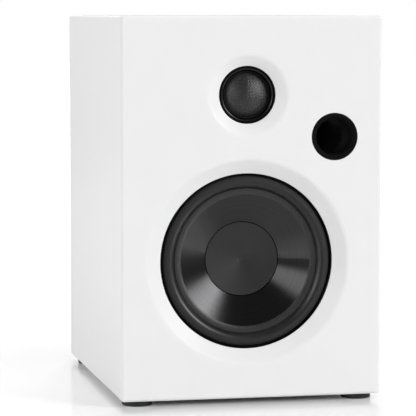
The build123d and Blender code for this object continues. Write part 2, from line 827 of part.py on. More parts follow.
def terminal_tabs():
    """The flat push-on tabs: two on the woofer's strip and two on the back of the tweeter's flange."""
    tab = Box(TAB_WIDTH, TAB_LENGTH, TAB_THICKNESS)
    strip_top = STRIP_RADIUS + STRIP_THICKNESS
    tabs = []
    for side in (-1, 1):
        on_strip = Pos(side * TAB_X, STRIP_DEPTH + TAB_LENGTH / 2, strip_top + TAB_THICKNESS / 2)
        on_flange = Pos(side * TWEETER_SCREW_CIRCLE, TWEETER_FLANGE_REAR + TAB_LENGTH / 2, 0)
        tabs.append(woofer_place(on_strip * tab))
        tabs.append(tweeter_place(on_flange * Rot(0, 90, 0) * tab))
    return group(tabs)


# Reflex port


def port_tube():
    """The port: a mouth that rolls in to the bore, a step that stops in the baffle and a long tube."""
    flare = 4.2
    lip = PORT_BORE_RADIUS + flare
    bend = flare * (1 - math.sqrt(0.5))
    tube = PORT_BORE_RADIUS + PORT_WALL
    edges = [
        ThreePointArc((lip, 0), (PORT_BORE_RADIUS + bend, bend), (PORT_BORE_RADIUS, flare)),
        Polyline(
            (PORT_BORE_RADIUS, flare),
            (PORT_BORE_RADIUS, PORT_LENGTH),
            (tube, PORT_LENGTH),
            (tube, PORT_STEP),
            (PORT_MOUTH_RADIUS, PORT_STEP),
            (PORT_MOUTH_RADIUS, 0),
            (lip, 0),
        ),
    ]
    return Pos(PORT_X, FRONT_Y, PORT_Z) * revolve(make_face(edges), Axis.Y)


# Terminals


def post_place(side, shape):
    """Moves a round piece along Y from the origin on to one post's axis."""
    return Pos(POST_SIDES[side] * POST_SPACING / 2, 0, TERMINAL_Z) * shape


def cup_screw_places():
    """Where the terminal cup's four screws go."""
    x = (CUP_PLATE_WIDTH - 12.0) / 2
    z = (CUP_PLATE_HEIGHT - 12.0) / 2
    return [(side * x, TERMINAL_Z + level * z) for side in (-1, 1) for level in (-1, 1)]


def terminal_cup():
    """The moulded plate with its recess for the binding posts."""
    plate = block(CUP_PLATE_WIDTH, CUP_PLATE_THICKNESS, CUP_PLATE_HEIGHT, CUP_CORNER + CUP_WALL)
    depth = CUP_DEPTH + CUP_FLOOR_THICKNESS
    shell = block(CUP_WIDTH + 2 * CUP_WALL, depth, CUP_HEIGHT + 2 * CUP_WALL, CUP_CORNER + CUP_WALL)
    hollow = block(CUP_WIDTH, CUP_DEPTH, CUP_HEIGHT, CUP_CORNER)
    solid = Pos(0, CUP_REAR_Y - CUP_PLATE_THICKNESS / 2, TERMINAL_Z) * plate
    solid += Pos(0, CUP_REAR_Y - depth / 2, TERMINAL_Z) * shell
    solid -= Pos(0, CUP_REAR_Y - CUP_DEPTH / 2, TERMINAL_Z) * hollow
    post_hole = disc(POST_RADIUS + 0.1, CUP_FLOOR_Y - CUP_FLOOR_THICKNESS, CUP_FLOOR_Y)
    for side in POST_SIDES:
        solid -= post_place(side, post_hole)
    screw_hole = disc(SMALL_SHANK + 0.2, BACK_REAR_Y, CUP_REAR_Y)
    for x, z in cup_screw_places():
        solid -= Pos(x, 0, z) * screw_hole
    return solid


def binding_post(side):
    """The metal post: a collar on the cup's floor, a wire hole across it and a plug socket in its end."""
    corners = [
        (0, POST_FRONT_Y),
        (POST_RADIUS, POST_FRONT_Y),
        (POST_RADIUS, CUP_FLOOR_Y),
        (POST_COLLAR_RADIUS, CUP_FLOOR_Y),
        (POST_COLLAR_RADIUS, COLLAR_REAR_Y),
        (POST_RADIUS, COLLAR_REAR_Y),
        (POST_RADIUS, POST_REAR_Y),
        (SOCKET_RADIUS, POST_REAR_Y),
        (SOCKET_RADIUS, POST_REAR_Y - SOCKET_LENGTH),
        (0, POST_REAR_Y - SOCKET_LENGTH),
    ]
    solid = turned(corners)
    hole_y = COLLAR_REAR_Y + WIRE_HOLE_RADIUS + 0.2
    solid -= Pos(0, hole_y, 0) * Cylinder(WIRE_HOLE_RADIUS, 4 * POST_RADIUS)
    return post_place(side, solid)


def post_nuts():
    """The nuts that hold the posts from inside."""
    rear = CUP_FLOOR_Y - CUP_FLOOR_THICKNESS
    nut = extrude(Plane.XZ * RegularPolygon(5.7, 6), NUT_THICKNESS)
    nut = Pos(0, rear, 0) * nut - disc(POST_RADIUS + 0.05, rear - NUT_THICKNESS, rear)
    return group(post_place(side, nut) for side in POST_SIDES)


def post_washer(side):
    """The clamp washer that the knob presses on a bare wire."""
    inner = POST_RADIUS + POST_CLEARANCE
    return post_place(side, ring(inner, KNOB_RADIUS - 1.0, WASHER_FRONT_Y, KNOB_FRONT_Y))


def post_knob(side):
    """The fluted plastic knob, moulded round its threaded insert."""
    near = KNOB_FRONT_Y
    far = KNOB_FRONT_Y + KNOB_LENGTH
    soft = 0.8
    solid = turned(
        [
            (KNOB_BORE_RADIUS, near),
            (KNOB_RADIUS - soft, near),
            (KNOB_RADIUS, near + soft),
            (KNOB_RADIUS, far - soft),
            (KNOB_RADIUS - soft, far),
            (KNOB_BORE_RADIUS, far),
        ]
    )
    flute = disc(0.9, near + 3.0, far + 1.0)
    for cut in about_axis(flute, KNOB_RADIUS + 0.3, KNOB_FLUTES):
        solid -= cut
    return post_place(side, solid)


def knob_insert(side):
    """The knob's threaded metal insert on the post, with a plug hole through its end."""
    near = KNOB_FRONT_Y
    far = KNOB_FRONT_Y + KNOB_LENGTH - 0.6
    thread = POST_RADIUS + POST_CLEARANCE
    plug_hole = 2.5
    end = POST_REAR_Y + 0.3
    corners = [
        (thread, near),
        (KNOB_BORE_RADIUS, near),
        (KNOB_BORE_RADIUS, far),
        (plug_hole, far),
        (plug_hole, end),
        (thread, end),
    ]
    return post_place(side, turned(corners))


# Crossover


def board_screw_places():
    """Where the crossover board's four screws go."""
    x = BOARD_WIDTH / 2 - 6.0
    z = BOARD_HEIGHT / 2 - 6.0
    return [(side * x, BOARD_Z + level * z) for side in (-1, 1) for level in (-1, 1)]


def crossover_board():
    """The circuit board, with four screw holes."""
    solid = Pos(0, BOARD_REAR_Y - BOARD_THICKNESS / 2, BOARD_Z) * block(
        BOARD_WIDTH, BOARD_THICKNESS, BOARD_HEIGHT, 2.0
    )
    hole = disc(SMALL_SHANK + 0.2, BOARD_FRONT_Y, BOARD_REAR_Y)
    for x, z in board_screw_places():
        solid -= Pos(x, 0, z) * hole
    return solid


def crossover_spacers():
    """Four tubes that hold the board off the back panel."""
    tube = ring(SMALL_SHANK + 0.2, 3.2, BOARD_REAR_Y, BACK_FRONT_Y)
    return group(Pos(x, 0, z) * tube for x, z in board_screw_places())


def small_screws():
    """The equal small screws of the tweeter's flange, the terminal cup and the crossover board."""
    one = screw(SMALL_HEAD_RADIUS, SMALL_HEAD_HEIGHT, SMALL_SHANK, SMALL_LENGTH)
    on_flange = Pos(0, TWEETER_FLANGE_REAR, 0) * one
    round_flange = about_axis(on_flange, TWEETER_SCREW_CIRCLE, TWEETER_SCREWS, 45)
    screws = [tweeter_place(each) for each in round_flange]
    screws += [Pos(x, CUP_REAR_Y, z) * one for x, z in cup_screw_places()]
    facing_back = Rot(0, 0, 180) * one
    screws += [Pos(x, BOARD_FRONT_Y, z) * facing_back for x, z in board_screw_places()]
    return group(screws)


def bass_inductor():
    """The larger coil, wound on a spool that lies flat on the board."""
    height = 22.0
    return Pos(-28.0, 0, BOARD_Z - 10.0) * ring(9.0, 20.0, BOARD_FRONT_Y - height, BOARD_FRONT_Y)


def treble_inductor():
    """The smaller coil, set on edge so that the two coils don't couple."""
    outer = 13.0
    coil = Cylinder(outer, 14.0) - Cylinder(6.0, 14.0)
    return Pos(30.0, BOARD_FRONT_Y - outer - 0.3, BOARD_Z - 16.0) * coil


def lying_can(radius, length, x, z):
    """A round component lying along X on the board."""
    return Pos(x, BOARD_FRONT_Y - radius - 0.2, z) * Rot(0, 90, 0) * Cylinder(radius, length)


def treble_resistor():
    """The cement-cased resistor."""
    return Pos(28.0, BOARD_FRONT_Y - 4.75, BOARD_Z + 8.0) * Box(22.0, 9.5, 9.5)


def input_leads():
    """Two leads from the binding posts up to the board."""
    leads = []
    for side in POST_SIDES.values():
        x = side * POST_SPACING / 2
        points = [
            (x, POST_FRONT_Y - 0.1, TERMINAL_Z),
            (x, POST_FRONT_Y - 12.0, TERMINAL_Z),
            (x, POST_FRONT_Y - 16.0, TERMINAL_Z + 34.0),
            (x, BOARD_FRONT_Y - 15.0, BOARD_Z - 36.0),
            (x, BOARD_FRONT_Y - 0.1, BOARD_Z - 36.0),
        ]
        leads.append(lead(points, LEAD_DIAMETER))
    return group(leads)


def woofer_leads():
    """Two leads from the woofer's tabs back to the board."""
    tab_y = FRONT_Y + STRIP_DEPTH + TAB_LENGTH + 0.1
    tab_z = WOOFER_Z + STRIP_RADIUS + STRIP_THICKNESS + TAB_THICKNESS / 2
    leads = []
    for side in (-1, 1):
        x = DRIVER_X + side * TAB_X
        end_x = side * 5.0
        points = [
            (x, tab_y, tab_z),
            (x, tab_y + 24.0, tab_z),
            (end_x - 2.0, 30.0, tab_z + 22.0),
            (end_x, BOARD_FRONT_Y - 34.0, BOARD_Z + 16.0),
            (end_x, BOARD_FRONT_Y - 0.1, BOARD_Z + 16.0),
        ]
        leads.append(lead(points, LEAD_DIAMETER))
    return group(leads)


def tweeter_leads():
    """Two leads from the tweeter's tabs back to the board."""
    tab_y = FRONT_Y + TWEETER_FLANGE_REAR + TAB_LENGTH + 0.1
    leads = []
    for side in (-1, 1):
        x = DRIVER_X + side * TWEETER_SCREW_CIRCLE
        end_x = 48.5 + side * 2.5
        points = [
            (x, tab_y, TWEETER_Z),
            (x, tab_y + 26.0, TWEETER_Z),
            (x * 0.4 + 12.0, -20.0, TWEETER_Z + 8.0),
            (end_x - 6.0, BOARD_FRONT_Y - 45.0, TWEETER_Z - 6.0),
            (end_x, BOARD_FRONT_Y - 14.0, BOARD_Z + 20.0),
            (end_x, BOARD_FRONT_Y - 0.1, BOARD_Z + 20.0),
        ]
        leads.append(lead(points, LEAD_DIAMETER))
    return group(leads)


def all_nodes():
    """Every piece of the speaker, by node name."""
    nodes = mitred_panels()
    nodes["front_baffle"] = front_baffle()
    nodes["back_panel"] = back_panel()
    nodes["back_screws"] = back_screws()
    nodes["damping_pads"] = group([damping_pad(-1, -80.0, 90.0), damping_pad(1, 0.0, 90.0)])
    for name, (x, y) in foot_places().items():
        nodes[name] = Pos(x, y, 0) * foot()
    nodes["foot_screws"] = foot_screws()
    for piece in (
        woofer_gasket,
        woofer_basket,
        woofer_trim_ring,
        woofer_surround,
        woofer_cone,
        woofer_dust_cap,
        woofer_former,
        woofer_winding,
        woofer_spider,
        woofer_top_plate,
        woofer_magnet,
        woofer_back_plate,
        woofer_terminal_strip,
        woofer_tinsel_leads,
        woofer_screws,
        tweeter_faceplate,
        tweeter_dome,
        tweeter_surround,
        tweeter_former,
        tweeter_winding,
        tweeter_top_plate,
        tweeter_magnet,
        tweeter_yoke,
        tweeter_rear_chamber,
        terminal_tabs,
        port_tube,
        terminal_cup,
        post_nuts,
        crossover_board,
        crossover_spacers,
        small_screws,
        bass_inductor,
        treble_inductor,
        treble_resistor,
        input_leads,
        woofer_leads,
        tweeter_leads,
    ):
        nodes[piece.__name__] = piece()
    nodes["treble_capacitor"] = lying_can(9.0, 34.0, 26.0, BOARD_Z + 28.0)
    nodes["bass_capacitor"] = lying_can(8.0, 30.0, -30.0, BOARD_Z + 26.0)
    for side in POST_SIDES:
        nodes[f"binding_post_{side}"] = binding_post(side)
        nodes[f"post_washer_{side}"] = post_washer(side)
        nodes[f"post_knob_{side}"] = post_knob(side)
        nodes[f"knob_insert_{side}"] = knob_insert(side)
    return nodes


os.makedirs("parts", exist_ok=True)
for node, solid in all_nodes().items():
    export_step(solid, f"parts/{node}.step")
    print(node, round(solid.volume, 1))
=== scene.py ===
# %% [markdown]
# # A white bookshelf speaker
# Every hard part of this speaker arrives from the imported model as a mesh at its true place, in metres.
# This lesson gives those parts their finishes, and models the soft parts that a solid can only stand in
# for: the rubber and cloth that bend when the drivers move, and the wadding inside the cabinet.
# The first cell clears Blender's default scene and loads the parts. It also keeps the size of the box
# round them.

# %% Load the speaker's parts
import json
import math

import bmesh
import bpy
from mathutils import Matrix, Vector, noise
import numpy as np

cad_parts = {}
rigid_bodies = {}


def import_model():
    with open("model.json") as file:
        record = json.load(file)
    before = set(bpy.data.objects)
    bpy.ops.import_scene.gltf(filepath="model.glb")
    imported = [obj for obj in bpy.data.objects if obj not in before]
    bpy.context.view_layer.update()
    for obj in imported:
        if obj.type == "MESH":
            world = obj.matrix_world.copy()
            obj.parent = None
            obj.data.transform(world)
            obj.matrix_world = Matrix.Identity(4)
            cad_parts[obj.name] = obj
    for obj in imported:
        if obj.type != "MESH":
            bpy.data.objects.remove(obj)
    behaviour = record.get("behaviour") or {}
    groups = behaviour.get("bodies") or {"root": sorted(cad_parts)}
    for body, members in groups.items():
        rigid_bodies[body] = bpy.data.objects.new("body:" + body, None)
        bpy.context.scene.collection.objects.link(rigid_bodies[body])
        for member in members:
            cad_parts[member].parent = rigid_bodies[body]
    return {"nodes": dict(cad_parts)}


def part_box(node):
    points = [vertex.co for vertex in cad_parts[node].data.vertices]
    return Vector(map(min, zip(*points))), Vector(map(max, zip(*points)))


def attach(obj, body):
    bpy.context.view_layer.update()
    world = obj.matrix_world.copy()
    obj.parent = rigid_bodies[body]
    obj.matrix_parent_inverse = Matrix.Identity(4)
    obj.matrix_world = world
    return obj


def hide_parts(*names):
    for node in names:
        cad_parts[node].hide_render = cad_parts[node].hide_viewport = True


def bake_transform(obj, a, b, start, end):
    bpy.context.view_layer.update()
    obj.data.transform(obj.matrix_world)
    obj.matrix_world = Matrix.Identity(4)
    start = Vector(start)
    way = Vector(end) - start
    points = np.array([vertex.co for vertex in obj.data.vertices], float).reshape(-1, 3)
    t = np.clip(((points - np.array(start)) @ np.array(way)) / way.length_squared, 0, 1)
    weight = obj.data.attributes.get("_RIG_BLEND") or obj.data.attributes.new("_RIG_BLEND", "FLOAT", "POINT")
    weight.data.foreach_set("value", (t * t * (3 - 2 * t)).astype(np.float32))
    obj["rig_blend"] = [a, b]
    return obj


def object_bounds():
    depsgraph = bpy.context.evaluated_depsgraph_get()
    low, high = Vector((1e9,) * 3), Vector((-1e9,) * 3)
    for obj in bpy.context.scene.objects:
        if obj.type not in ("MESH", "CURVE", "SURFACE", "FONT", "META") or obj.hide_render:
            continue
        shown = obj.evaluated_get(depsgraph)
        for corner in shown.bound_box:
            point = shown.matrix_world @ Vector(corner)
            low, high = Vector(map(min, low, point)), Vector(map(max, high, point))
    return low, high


for leftover in list(bpy.data.objects):
    bpy.data.objects.remove(leftover)
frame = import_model()
parts = frame["nodes"]
cad_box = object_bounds()
front = cad_box[0][1]
half_width, back, top = cad_box[1]
print("parts:", len(parts), "box:", [[round(v, 4) for v in corner] for corner in cad_box])

# %% [markdown]
# ## The camera
# The photograph was taken from the front left, with a long lens at about the height of the speaker's top.
# A camera can be placed by eye, or worked out from points whose true places are known. This one was worked
# out: the cabinet's corners and the three round openings fix its place, its tilt and its lens together.

# %% Camera
def put(name, data):
    """A new object in the scene, at the origin."""
    made = bpy.data.objects.new(name, data)
    bpy.context.scene.collection.objects.link(made)
    return made


look_down, look_right = math.radians(4.928), math.radians(12.09)
lens = bpy.data.cameras.new("camera")
lens.sensor_width = 36
lens.lens = 199.5
lens.clip_end = 100
camera = put("camera", lens)
camera.location = (-0.4374, -2.0029, 0.3303)
camera.rotation_euler = (math.pi / 2 - look_down, 0, -look_right)
bpy.context.scene.camera = camera
bpy.context.scene.view_settings.view_transform = "Standard"
print("camera at", tuple(round(v, 3) for v in camera.location))

# %% [markdown]
# ## Small helpers for node trees
# Shader trees are quick to draw by hand and long to write in code. A few helpers keep them short. The first
# adds a node, sets it up and links its inputs in one call. The others add the nodes that come back most: a
# sum, a ramp from one value to another, and a colour mix, whose sockets have to be picked by number because
# a Mix node has several inputs with the same name.

# %% Node helpers
def add(tree, kind, inputs=None, **settings):
    """Adds a shader node. An input is a plain value, or another node's output to link."""
    node = tree.nodes.new("ShaderNode" + kind)
    for name, value in settings.items():
        setattr(node, name, value)
    for name, value in (inputs or {}).items():
        if isinstance(value, bpy.types.NodeSocket):
            tree.links.new(value, node.inputs[name])
        else:
            node.inputs[name].default_value = value
    return node


def maths(tree, operation, first, second=0.0):
    """The output of one Math node."""
    return add(tree, "Math", {0: first, 1: second}, operation=operation).outputs[0]


def ramp(tree, value, start, end, low=0.0, high=1.0):
    """Runs from low to high while a value runs from start to end, and stays level past both."""
    limits = {"From Min": start, "From Max": end, "To Min": low, "To Max": high}
    return add(tree, "MapRange", {"Value": value, **limits}).outputs["Result"]


def between(tree, factor, low, high):
    """Runs from low to high while a factor runs from 0 to 1."""
    return ramp(tree, factor, 0.0, 1.0, low, high)


def mix_colours(tree, factor, first, second):
    """A colour between two others, each a link or three numbers."""
    ends = [c if isinstance(c, bpy.types.NodeSocket) else (*c, 1.0) for c in (first, second)]
    return add(tree, "Mix", {0: factor, 6: ends[0], 7: ends[1]}, data_type="RGBA").outputs[2]


print("node helpers ready")

# %% [markdown]
# ## The table
# The speaker stands on a glossy white table, which mirrors it softly at this low angle. A real table would
# be cut out of the picture to leave plain white round it. Here the table adds a little light of its own for
# rays from the camera alone, more of it further away, so nothing extra falls on the speaker. That light
# fades out under the front edge, where the table is in deep shadow.

# %% Table
def finish(name, **plain):
    """A new material with plain values on its shader, and the object coordinates to paint by."""
    material = bpy.data.materials.new(name)
    material.use_nodes = True
    tree = material.node_tree
    shader = tree.nodes["Principled BSDF"]
    for label, value in plain.items():
        shader.inputs[label.replace("_", " ")].default_value = value
    return material, tree, shader, add(tree, "TexCoord").outputs["Object"]


def new_mesh(shape, name, material):
    """Turns a bmesh into a mesh with one material."""
    mesh = bpy.data.meshes.new(name)
    shape.to_mesh(mesh)
    shape.free()
    mesh.materials.append(material)
    return mesh


white = (1, 1, 1, 1)
table_look = {"Base_Color": (0.95, 0.95, 0.95, 1), "Roughness": 0.03, "Emission_Color": white}
table_size = 24
shadow_edge = (-0.004, 0.014)
glow_reach, glow_strength = (0.2, 1.6), (0.11, 0.75)
glossy_white, tree, shader, place = finish("table", **table_look)
spot = add(tree, "SeparateXYZ", {0: place}).outputs
past_side = maths(tree, "SUBTRACT", maths(tree, "ABSOLUTE", spot["X"]), half_width - 0.03)
past_front = maths(tree, "SUBTRACT", maths(tree, "ABSOLUTE", spot["Y"]), back)
uncovered = ramp(tree, maths(tree, "MAXIMUM", past_side, past_front), *shadow_edge)
away = add(tree, "VectorMath", {0: place}, operation="LENGTH").outputs["Value"]
glow = maths(tree, "MULTIPLY", uncovered, ramp(tree, away, *glow_reach, *glow_strength))
path = add(tree, "LightPath").outputs
seen = maths(tree, "MAXIMUM", path["Is Camera Ray"], path["Is Transmission Ray"])
tree.links.new(maths(tree, "MULTIPLY", seen, glow), shader.inputs["Emission Strength"])
shape = bmesh.new()
bmesh.ops.create_grid(shape, size=table_size / 2)
table = put("table", new_mesh(shape, "table", glossy_white))
print("the table stands at z =", table.location.z)

# %% [markdown]
# ## Lamps
# The finish of a dark metal cone is mostly a picture of the room. In the photograph it has a strong bright
# wedge at the lower left and a weaker one at the lower right, so there is a big soft lamp to the upper right
# and a weaker, wider one to the left. The middle of each wedge gives its lamp's direction. Both stand ten
# metres off, which keeps their light even from the top of the speaker to its foot. The white table throws
# more light up from below. A small lamp, low and close, lifts the left side near the table, and two weak
# ones light the top and the back, which the photograph doesn't show. A lamp's strength is easier to choose
# as a share of white: how bright a white card held square to the lamp would look, with 1 for full white.

# %% Lamps
def soft_lamp(name, towards, distance, size, share, target, wide=1.0):
    """A soft lamp in a direction from a point on the speaker, turned to face that point."""
    lamp = bpy.data.lights.new(name, "AREA")
    lamp.shape = "RECTANGLE"
    lamp.size, lamp.size_y = size * wide, size
    lamp.energy = share * (math.pi * distance) ** 2
    held = put(name, lamp)
    held.location = Vector(target) + Vector(towards).normalized() * distance
    held.rotation_euler = (-Vector(towards)).to_track_quat("-Z", "Y").to_euler()
    held.visible_camera = False


front_middle, back_middle, top_middle = (0, front, 0.14), (0, back, 0.16), (0, 0, 0.3)
left_foot = (-0.112, -0.08, 0.03)
far = 10.0
soft_lamp("right_lamp", (0.73, -0.57, 0.38), far, 4.2, 0.72, front_middle)
soft_lamp("left_lamp", (-0.84, -0.44, 0.32), far, 4.4, 0.48, front_middle, wide=2.0)
soft_lamp("side_lamp", (-0.97, -0.10, 0.12), 0.55, 0.16, 0.12, left_foot)
soft_lamp("top_lamp", (0.0, 0.10, 0.99), 3.0, 1.6, 0.30, top_middle)
soft_lamp("back_lamp", (0.15, 0.88, 0.45), 2.4, 1.2, 0.45, back_middle)

# %% [markdown]
# ## The room
# The room is a world shader. It is dim, because the metal and rubber show deep blacks, and plain white for
# the camera. In a world, the Generated coordinates are the direction a ray leaves in. They make the low part
# of the room behind the speaker white in reflections, because the table mirrors it to the camera.

# %% Room
dim = 0.12
room = bpy.data.worlds.new("room")
room.use_nodes = True
bpy.context.scene.world = room
tree = room.node_tree
heading = add(tree, "SeparateXYZ", {0: add(tree, "TexCoord").outputs["Generated"]}).outputs
behind = ramp(tree, heading["Y"], -0.05, 0.2)
low = ramp(tree, heading["Z"], 0.45, 0.25)
backdrop = maths(tree, "MULTIPLY", behind, low)
ray = add(tree, "LightPath").outputs
straight = maths(tree, "MAXIMUM", ray["Is Camera Ray"], ray["Is Transmission Ray"])
mirrored = maths(tree, "MULTIPLY", ray["Is Glossy Ray"], backdrop)
level = maths(tree, "MAXIMUM", maths(tree, "MAXIMUM", straight, mirrored), dim)
tree.links.new(level, tree.nodes["Background"].inputs["Strength"])
tree.nodes["Background"].inputs["Color"].default_value = white
print("room:", room.name)

# %% [markdown]
# ## Shared effects
# Some effects come back in many finishes: the fine grain of moulded and painted surfaces, the rings that a
# lathe leaves, the threads of a weave, and the lines of wound wire. Each is one node group, with its own
# inputs and outputs, so that every material that uses it only sets the scale. A group hands out masks and
# heights, and the shader that uses them stays in the material. The first one is the grain: a fine noise for
# relief, and a slow one for patches of tone and gloss.

# %% Effect: fine grain
def effect(name, inputs, outputs):
    """An empty node group with its sockets, and its input and output nodes."""
    group = bpy.data.node_groups.new(name, "ShaderNodeTree")
    for label, kind in inputs.items():
        group.interface.new_socket(name=label, in_out="INPUT", socket_type="NodeSocket" + kind)
    for label in outputs:
        group.interface.new_socket(name=label, in_out="OUTPUT", socket_type="NodeSocketFloat")
    return group, group.nodes.new("NodeGroupInput").outputs, group.nodes.new("NodeGroupOutput").inputs


grain, given, result = effect("fine_grain", {"Place": "Vector", "Scale": "Float"}, ["Grain", "Patches"])
fine = add(grain, "TexNoise", {"Vector": given["Place"], "Scale": given["Scale"], "Detail": 3.0})
slow_scale = maths(grain, "MULTIPLY", given["Scale"], 0.05)
slow = add(grain, "TexNoise", {"Vector": given["Place"], "Scale": slow_scale, "Detail": 2.0})
grain.links.new(fine.outputs["Fac"], result["Grain"])
grain.links.new(slow.outputs["Fac"], result["Patches"])
print("effect:", grain.name)

# %% [markdown]
# The rings of a lathe only change with the distance to the axis. So this group measures that distance, and
# feeds it to a noise in one dimension. It hands out the distance too, because some finishes change at a
# radius: a polished edge, a glued lip or a glue line.

# %% Effect: turned rings
turning, given, result = effect(
    "turned_rings", {"Place": "Vector", "Centre": "Vector", "Scale": "Float"}, ["Rings", "Radius"]
)
offset = add(turning, "VectorMath", {0: given["Place"], 1: given["Centre"]}, operation="SUBTRACT").outputs[0]
flat = add(turning, "VectorMath", {0: offset, 1: (1, 0, 1)}, operation="MULTIPLY").outputs[0]
radius = add(turning, "VectorMath", {0: flat}, operation="LENGTH").outputs["Value"]
ring_noise = {"W": radius, "Scale": given["Scale"], "Detail": 4.0, "Roughness": 0.6}
lines = add(turning, "TexNoise", ring_noise, noise_dimensions="1D")
turning.links.new(lines.outputs["Fac"], result["Rings"])
turning.links.new(radius, result["Radius"])
print("effect:", turning.name)

# %% [markdown]
# In a plain weave, each thread goes over one crossing thread and under the next. Two rows of round humps,
# one along X and one along Z, make the threads, and a chequered mask lifts one row or the other. Wound wire
# is simpler: one row of humps along the depth of the coil.

# %% Effects: plain weave and wound wire
under = 0.55
weave, given, result = effect("plain_weave", {"Place": "Vector", "Threads": "Float"}, ["Height"])
axes = add(weave, "SeparateXYZ", {0: given["Place"]}).outputs
across = maths(weave, "MULTIPLY", axes["X"], given["Threads"])
along = maths(weave, "MULTIPLY", axes["Z"], given["Threads"])
warp = maths(weave, "ABSOLUTE", maths(weave, "SINE", maths(weave, "MULTIPLY", across, math.pi)))
weft = maths(weave, "ABSOLUTE", maths(weave, "SINE", maths(weave, "MULTIPLY", along, math.pi)))
square = maths(weave, "ADD", maths(weave, "FLOOR", across), maths(weave, "FLOOR", along))
over = maths(weave, "PINGPONG", square, 1.0)
warp_height = maths(weave, "MULTIPLY", warp, between(weave, over, under, 1.0))
weft_height = maths(weave, "MULTIPLY", weft, between(weave, over, 1.0, under))
weave.links.new(maths(weave, "MAXIMUM", warp_height, weft_height), result["Height"])

wound, given, result = effect("wound_wire", {"Place": "Vector", "Turns": "Float"}, ["Height"])
depth = add(wound, "SeparateXYZ", {0: given["Place"]}).outputs["Y"]
phase = maths(wound, "MULTIPLY", depth, maths(wound, "MULTIPLY", given["Turns"], math.pi))
wound.links.new(maths(wound, "ABSOLUTE", maths(wound, "SINE", phase)), result["Height"])
print("effects:", weave.name, wound.name)

# %% [markdown]
# ## Moulded and painted finishes
# Rubber, plastic, foam, cement and powder paint all share one build: a base colour that drifts a little from
# patch to patch, a gloss that drifts with it, and a fine grain that lifts the surface by some hundredths of a
# millimetre. Only the numbers differ, so one function makes them all. Values that don't change over the
# surface, such as the specular level or a clear coat, go straight on the shader's own sockets.

# %% Plain finishes
def relief(tree, shader, height, depth):
    """Raises the surface by a height map, to a depth in metres."""
    bump = add(tree, "Bump", {"Height": height, "Distance": depth})
    tree.links.new(bump.outputs["Normal"], shader.inputs["Normal"])


def spread(colour, share):
    """A darker and a paler version of a colour."""
    return [c * (1 - share) for c in colour], [c * (1 + share) for c in colour]


def grained(name, colour, roughness, scale, depth, drift=0.15, **plain):
    """A moulded or painted finish: colour and gloss drift in patches, and a fine grain lifts the surface."""
    material, tree, shader, place = finish(name, **plain)
    marks = add(tree, "Group", node_tree=grain)
    tree.links.new(place, marks.inputs["Place"])
    marks.inputs["Scale"].default_value = scale
    patches = marks.outputs["Patches"]
    tree.links.new(mix_colours(tree, patches, *spread(colour, drift)), shader.inputs["Base Color"])
    tree.links.new(between(tree, patches, roughness - 0.06, roughness + 0.06), shader.inputs["Roughness"])
    relief(tree, shader, marks.outputs["Grain"], depth)
    return material


finishes = {
    "foot_rubber": grained("foot_black_rubber", (0.012, 0.012, 0.012), 0.6, 900, 4e-5),
    "gasket_foam": grained("gasket_black_foam", (0.03, 0.03, 0.03), 0.9, 1500, 1e-4),
    "basket_black": grained("basket_powder_paint", (0.02, 0.02, 0.02), 0.45, 2500, 3e-5),
    "chamber_plastic": grained("chamber_black_plastic", (0.02, 0.02, 0.021), 0.5, 1800, 2e-5),
    "cup_black": grained("cup_grained_black", (0.014, 0.014, 0.014), 0.5, 1600, 3e-5),
    "spacer_nylon": grained("spacer_nylon", (0.8, 0.79, 0.74), 0.45, 800, 1e-5, 0.04),
    "resistor_cement": grained("resistor_cement", (0.75, 0.73, 0.68), 0.85, 1400, 8e-5, 0.08),
    "film_yellow": grained("capacitor_yellow_wrap", (0.72, 0.5, 0.06), 0.3, 400, 2e-5, 0.06, Coat_Weight=0.4),
    "can_black": grained("capacitor_black_sleeve", (0.02, 0.02, 0.026), 0.28, 500, 1e-5, Coat_Weight=0.3),
    "lead_sleeve": grained("lead_black_vinyl", (0.025, 0.025, 0.025), 0.45, 1200, 1e-5),
    "strip_board": grained("strip_brown_laminate", (0.24, 0.12, 0.05), 0.5, 900, 2e-5, 0.25),
    "board_green": grained("board_solder_mask", (0.03, 0.17, 0.07), 0.32, 600, 1e-5, 0.12),
    "ferrite": grained("magnet_ferrite", (0.05, 0.05, 0.055), 0.6, 700, 6e-5, 0.25),
    "knob_red": grained("knob_red_plastic", (0.42, 0.012, 0.014), 0.3, 500, 5e-6, 0.06, Coat_Weight=0.4),
    "knob_black": grained("knob_black_plastic", (0.012, 0.012, 0.013), 0.32, 500, 5e-6, Coat_Weight=0.3),
}
print("plain finishes:", len(finishes))

# %% [markdown]
# ## Black rings and the port
# Two black pieces change over their own surface, so each gets one more step. The rings round the drivers are
# dull black, but the tweeter's ring is polished on the small round of its inner edge, which the distance to
# the tweeter's axis finds. The port is matt black at its mouth, and its colour turns paler down its bore:
# that is painted light, which lifts the bore where less and less real light reaches it.

# %% Trim and port finishes
def axis_of(node):
    """Where the axis of a round part meets the front face."""
    low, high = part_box(node)
    return (low[0] + high[0]) / 2, front, (low[2] + high[2]) / 2


def distance_from(tree, centre):
    """The distance of a surface point from a driver's axis."""
    place = add(tree, "TexCoord").outputs["Object"]
    return add(tree, "Group", {"Place": place, "Centre": centre}, node_tree=turning).outputs["Radius"]


def tint(material, factor, colour):
    """Mixes a finished material's colour towards another one."""
    tree = material.node_tree
    colour_in = tree.nodes["Principled BSDF"].inputs["Base Color"]
    tone = colour_in.links[0].from_socket
    tree.links.new(mix_colours(tree, factor, tone, colour), colour_in)


AXIS = {"woofer": axis_of("woofer_cone"), "tweeter": axis_of("tweeter_dome")}
polished_radius = 0.0219
port_mouth, port_depth = front + 0.004, front + 0.054

